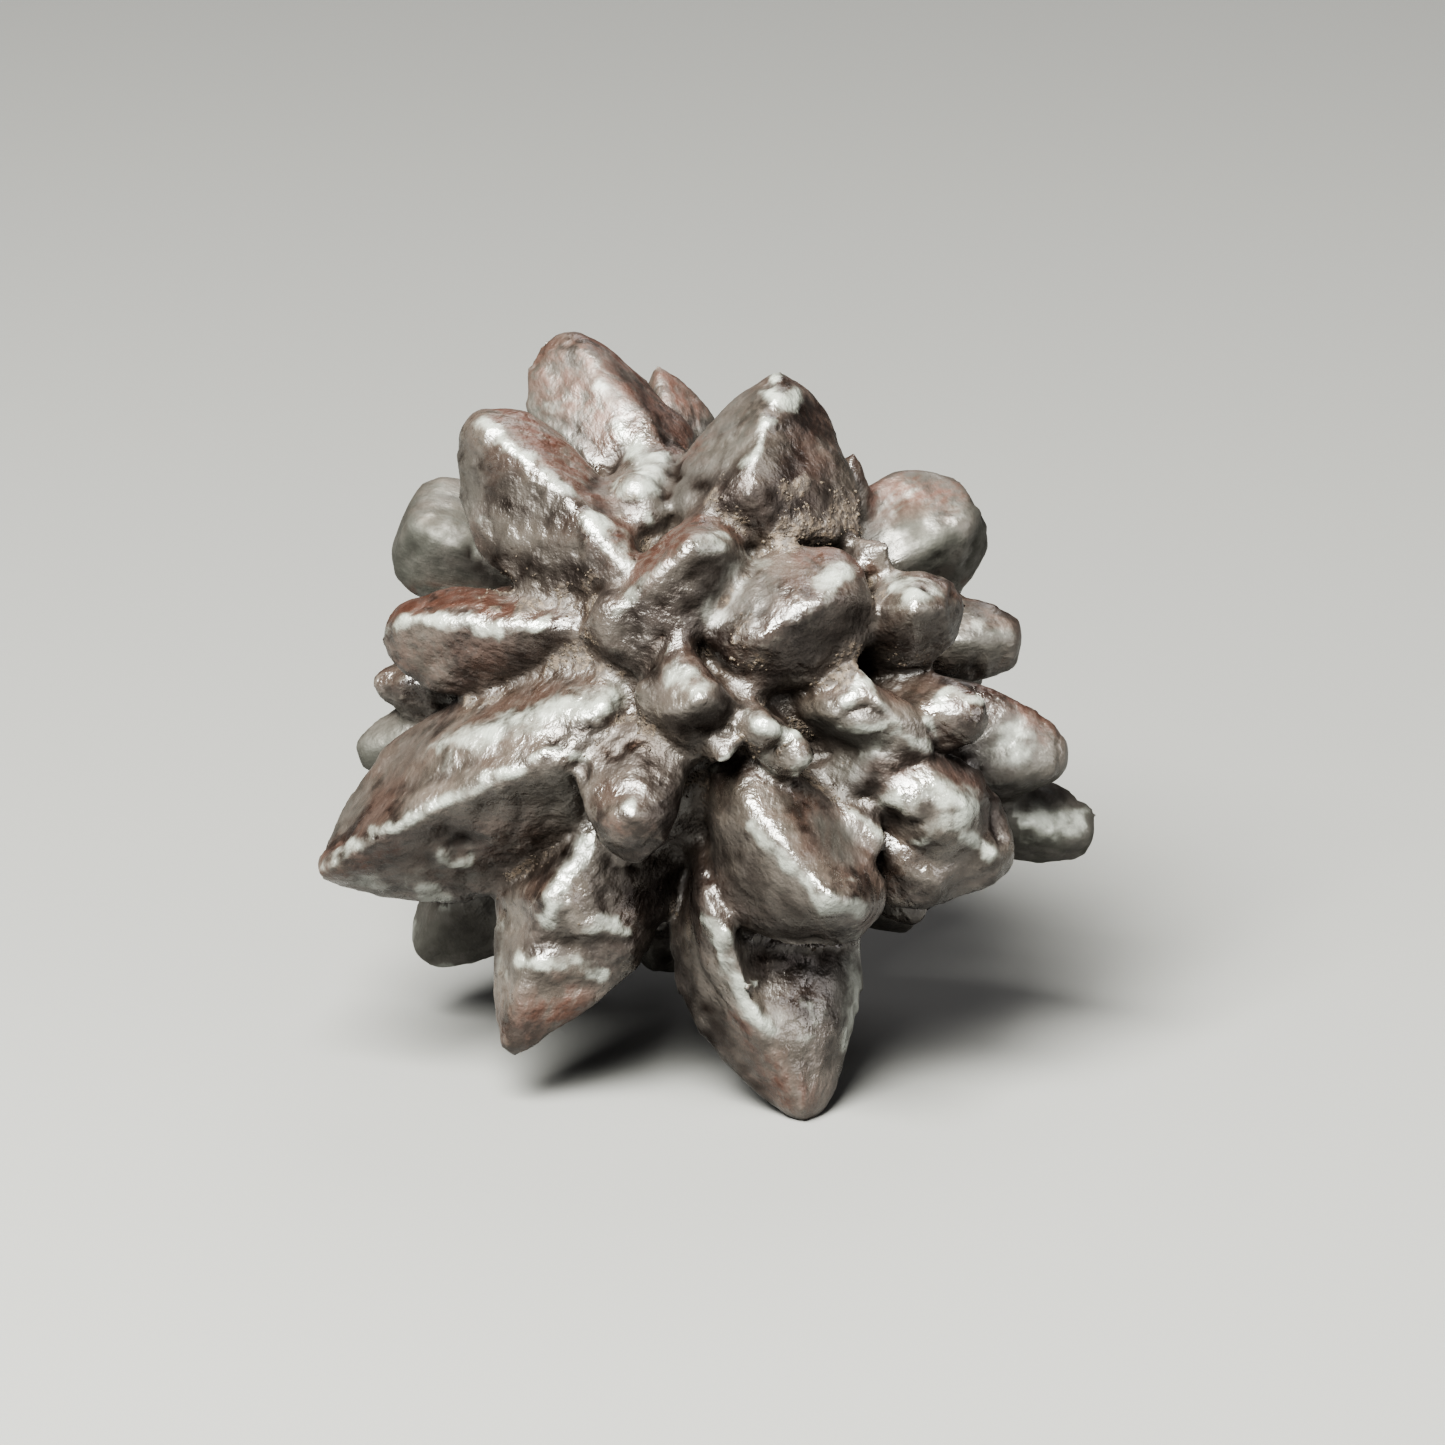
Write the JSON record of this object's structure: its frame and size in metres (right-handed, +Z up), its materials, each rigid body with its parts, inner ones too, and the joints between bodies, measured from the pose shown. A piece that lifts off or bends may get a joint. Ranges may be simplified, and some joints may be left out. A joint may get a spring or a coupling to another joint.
{
  "type": "prophecy stone",
  "caption": "Natural iron-oxide concretion: a fist of stubby bladed crystals grown outward together, wind-worn, standing on the tips of its own crystals. Decorative collector's specimen.",
  "frame": {"origin": "centre of the bounding box on the resting plane, under the stone", "axes": "+X across the stone's widest span, +Y away from the side seen first, +Z up; the stone stands on three crystal tips in the plane Z = 0"},
  "size_m": [0.0416, 0.0356, 0.0379],
  "materials": {
    "iron_oxide": "wind-polished dark brown iron oxide with a grey semi-metallic sheen, sandy in its hollows"
  },
  "bodies": {
    "root": {"stone": "iron_oxide"}
  },
  "joints": []
}
